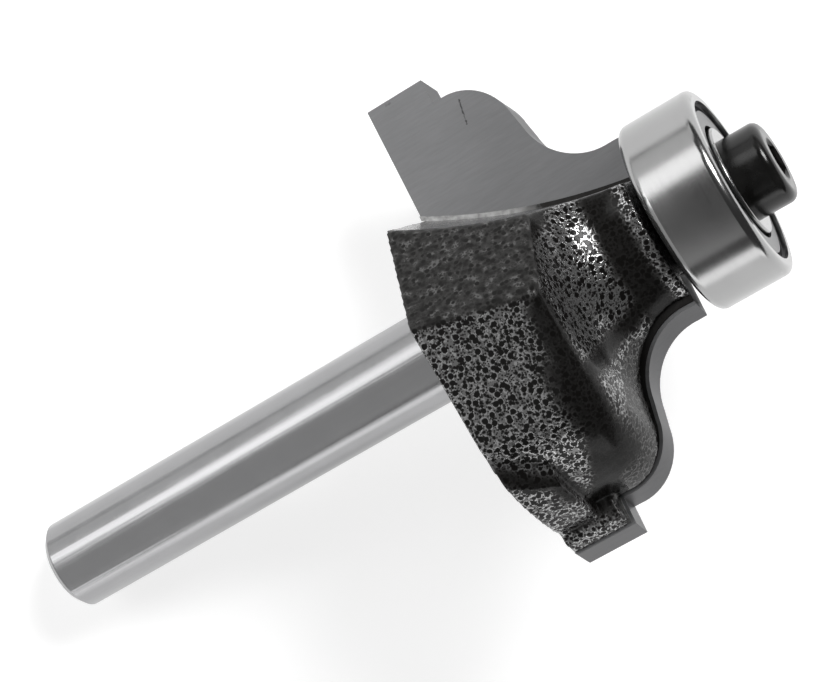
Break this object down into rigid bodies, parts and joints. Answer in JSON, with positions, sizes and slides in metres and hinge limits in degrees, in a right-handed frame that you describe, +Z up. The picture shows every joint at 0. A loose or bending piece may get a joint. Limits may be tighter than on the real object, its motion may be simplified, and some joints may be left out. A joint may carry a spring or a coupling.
{
  "type": "router bit",
  "caption": "Two-flute ogee edge-forming router bit with carbide cutting tips, a straight collet shank and a ball-bearing pilot held by a small socket-head screw, lying on its side.",
  "frame": {"origin": "middle of the footprint box, on the table plane", "axes": "+X along the bit's shadow from the shank's free end to the pilot bearing, +Z up from the table, +Y towards the side of the second cutting edge"},
  "size_m": [0.0526, 0.031, 0.0261],
  "materials": {
    "coated_steel": "dark baked hammer-pattern coating on the head, ground bright steel on the shank",
    "carbide": "ground tungsten carbide, satin grey",
    "braze_alloy": "thin pale silver-alloy fillet",
    "black_screw": "black oxide on steel",
    "ring_steel": "polished bearing steel",
    "cage_steel": "pressed steel strip",
    "ball_steel": "lapped bearing steel",
    "shield_steel": "pressed sheet steel, satin",
    "spring_wire": "dark spring wire"
  },
  "bodies": {
    "bit": {"cutter_body": "coated_steel", "carbide_tip_1": "carbide", "carbide_tip_2": "carbide", "braze_1": "braze_alloy", "braze_2": "braze_alloy", "retaining_screw": "black_screw", "bearing_inner_ring": "ring_steel"},
    "pilot_rim": {"bearing_outer_ring": "ring_steel", "rear_shield": "shield_steel", "front_shield": "shield_steel", "rear_clip": "spring_wire", "front_clip": "spring_wire"},
    "cage": {"bearing_cage": "cage_steel"},
    "ball_1": {"ball_1": "ball_steel"},
    "ball_2": {"ball_2": "ball_steel"},
    "ball_3": {"ball_3": "ball_steel"},
    "ball_4": {"ball_4": "ball_steel"},
    "ball_5": {"ball_5": "ball_steel"},
    "ball_6": {"ball_6": "ball_steel"},
    "ball_7": {"ball_7": "ball_steel"}
  },
  "joints": [
    {"name": "pilot_spin", "type": "hinge", "parent": "bit", "child": "pilot_rim", "pos_m": [0.02094, 0, 0.01675], "axis": [0.9577, 0, 0.2879], "continuous": true},
    {"name": "cage_spin", "type": "hinge", "parent": "bit", "child": "cage", "pos_m": [0.02094, 0, 0.01675], "axis": [0.9577, 0, 0.2879], "continuous": true},
    {"name": "ball_1_roll", "type": "hinge", "parent": "cage", "child": "ball_1", "pos_m": [0.02094, 0.00436, 0.01675], "axis": [0.9577, 0, 0.2879], "continuous": true},
    {"name": "ball_2_roll", "type": "hinge", "parent": "cage", "child": "ball_2", "pos_m": [0.01995, 0.00272, 0.02001], "axis": [0.9577, 0, 0.2879], "continuous": true},
    {"name": "ball_3_roll", "type": "hinge", "parent": "cage", "child": "ball_3", "pos_m": [0.01971, -0.00097, 0.02082], "axis": [0.9577, 0, 0.2879], "continuous": true},
    {"name": "ball_4_roll", "type": "hinge", "parent": "cage", "child": "ball_4", "pos_m": [0.02039, -0.00393, 0.01856], "axis": [0.9577, 0, 0.2879], "continuous": true},
    {"name": "ball_5_roll", "type": "hinge", "parent": "cage", "child": "ball_5", "pos_m": [0.02148, -0.00393, 0.01493], "axis": [0.9577, 0, 0.2879], "continuous": true},
    {"name": "ball_6_roll", "type": "hinge", "parent": "cage", "child": "ball_6", "pos_m": [0.02216, -0.00097, 0.01267], "axis": [0.9577, 0, 0.2879], "continuous": true},
    {"name": "ball_7_roll", "type": "hinge", "parent": "cage", "child": "ball_7", "pos_m": [0.02192, 0.00272, 0.01348], "axis": [0.9577, 0, 0.2879], "continuous": true}
  ],
  "couplings": [
    {"joint": "cage_spin", "follows": "pilot_spin", "ratio": 0.6386},
    {"joint": "ball_1_roll", "follows": "pilot_spin", "ratio": 1.6931},
    {"joint": "ball_2_roll", "follows": "pilot_spin", "ratio": 1.6931},
    {"joint": "ball_3_roll", "follows": "pilot_spin", "ratio": 1.6931},
    {"joint": "ball_4_roll", "follows": "pilot_spin", "ratio": 1.6931},
    {"joint": "ball_5_roll", "follows": "pilot_spin", "ratio": 1.6931},
    {"joint": "ball_6_roll", "follows": "pilot_spin", "ratio": 1.6931},
    {"joint": "ball_7_roll", "follows": "pilot_spin", "ratio": 1.6931}
  ]
}
